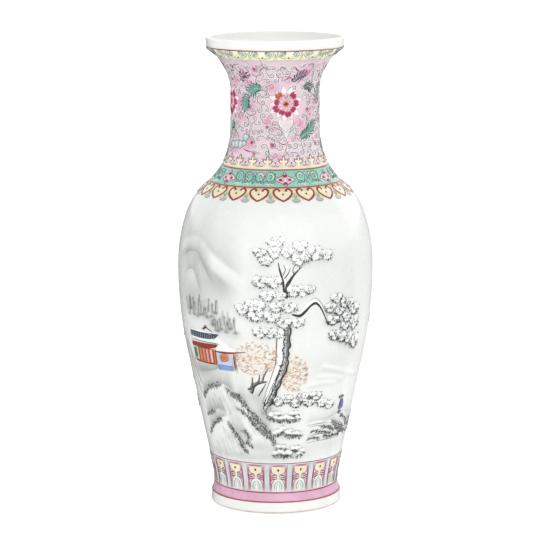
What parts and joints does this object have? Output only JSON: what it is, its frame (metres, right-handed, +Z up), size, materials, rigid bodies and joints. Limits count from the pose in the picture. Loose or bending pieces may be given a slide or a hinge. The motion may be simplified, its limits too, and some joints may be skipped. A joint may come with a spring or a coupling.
{
  "type": "porcelain vase",
  "caption": "Tall porcelain baluster vase with a dished mouth, flared neck and low foot, with painted enamel bands around a winter landscape.",
  "frame": {"origin": "middle of the ring that the vase stands on, in the plane it stands on", "axes": "+Z up along the vase's axis, from the foot to the mouth; -Y is the side with the pine tree, +X is to its right"},
  "size_m": [0.1915, 0.1916, 0.46],
  "materials": {
    "porcelain_paste": "bare fired paste, matt",
    "luting_slip": "fired slip, matt",
    "clear_glaze": "clear, glossy, faintly blue-white",
    "iron_red_enamel": "overglaze enamel, glossy, slightly raised",
    "pink_enamel": "overglaze enamel, glossy, slightly raised",
    "magenta_enamel": "overglaze enamel, glossy, slightly raised",
    "landscape_wash": "overglaze enamel, glossy, slightly raised",
    "yellow_enamel": "overglaze enamel, glossy, slightly raised",
    "turquoise_enamel": "overglaze enamel, glossy, slightly raised",
    "cream_enamel": "overglaze enamel, glossy, slightly raised",
    "rose_enamel": "overglaze enamel, glossy, slightly raised",
    "pale_yellow_enamel": "overglaze enamel, glossy, slightly raised"
  },
  "bodies": {
    "root": {"foot_ring": "porcelain_paste", "base_disc": "porcelain_paste", "lower_body": "porcelain_paste", "middle_body": "porcelain_paste", "upper_body": "porcelain_paste", "shoulder": "porcelain_paste", "neck": "porcelain_paste", "mouth_rim": "porcelain_paste", "base_slip": "luting_slip", "foot_slip": "luting_slip", "flank_slip": "luting_slip", "belly_slip": "luting_slip", "shoulder_slip": "luting_slip", "neck_slip": "luting_slip", "mouth_slip": "luting_slip", "base_glaze": "clear_glaze", "clear_glaze": "clear_glaze", "foot_lower_red_line": "iron_red_enamel", "foot_pink_band": "pink_enamel", "foot_upper_red_line": "iron_red_enamel", "lappet_band": "magenta_enamel", "winter_landscape": "landscape_wash", "ruyi_collar": "yellow_enamel", "shoulder_red_line": "iron_red_enamel", "turquoise_cloud_band": "turquoise_enamel", "neck_red_line": "iron_red_enamel", "cream_trefoil_band": "cream_enamel", "rose_neck_ground": "rose_enamel", "rim_scroll_band": "pale_yellow_enamel", "rim_red_line": "iron_red_enamel"}
  },
  "joints": []
}
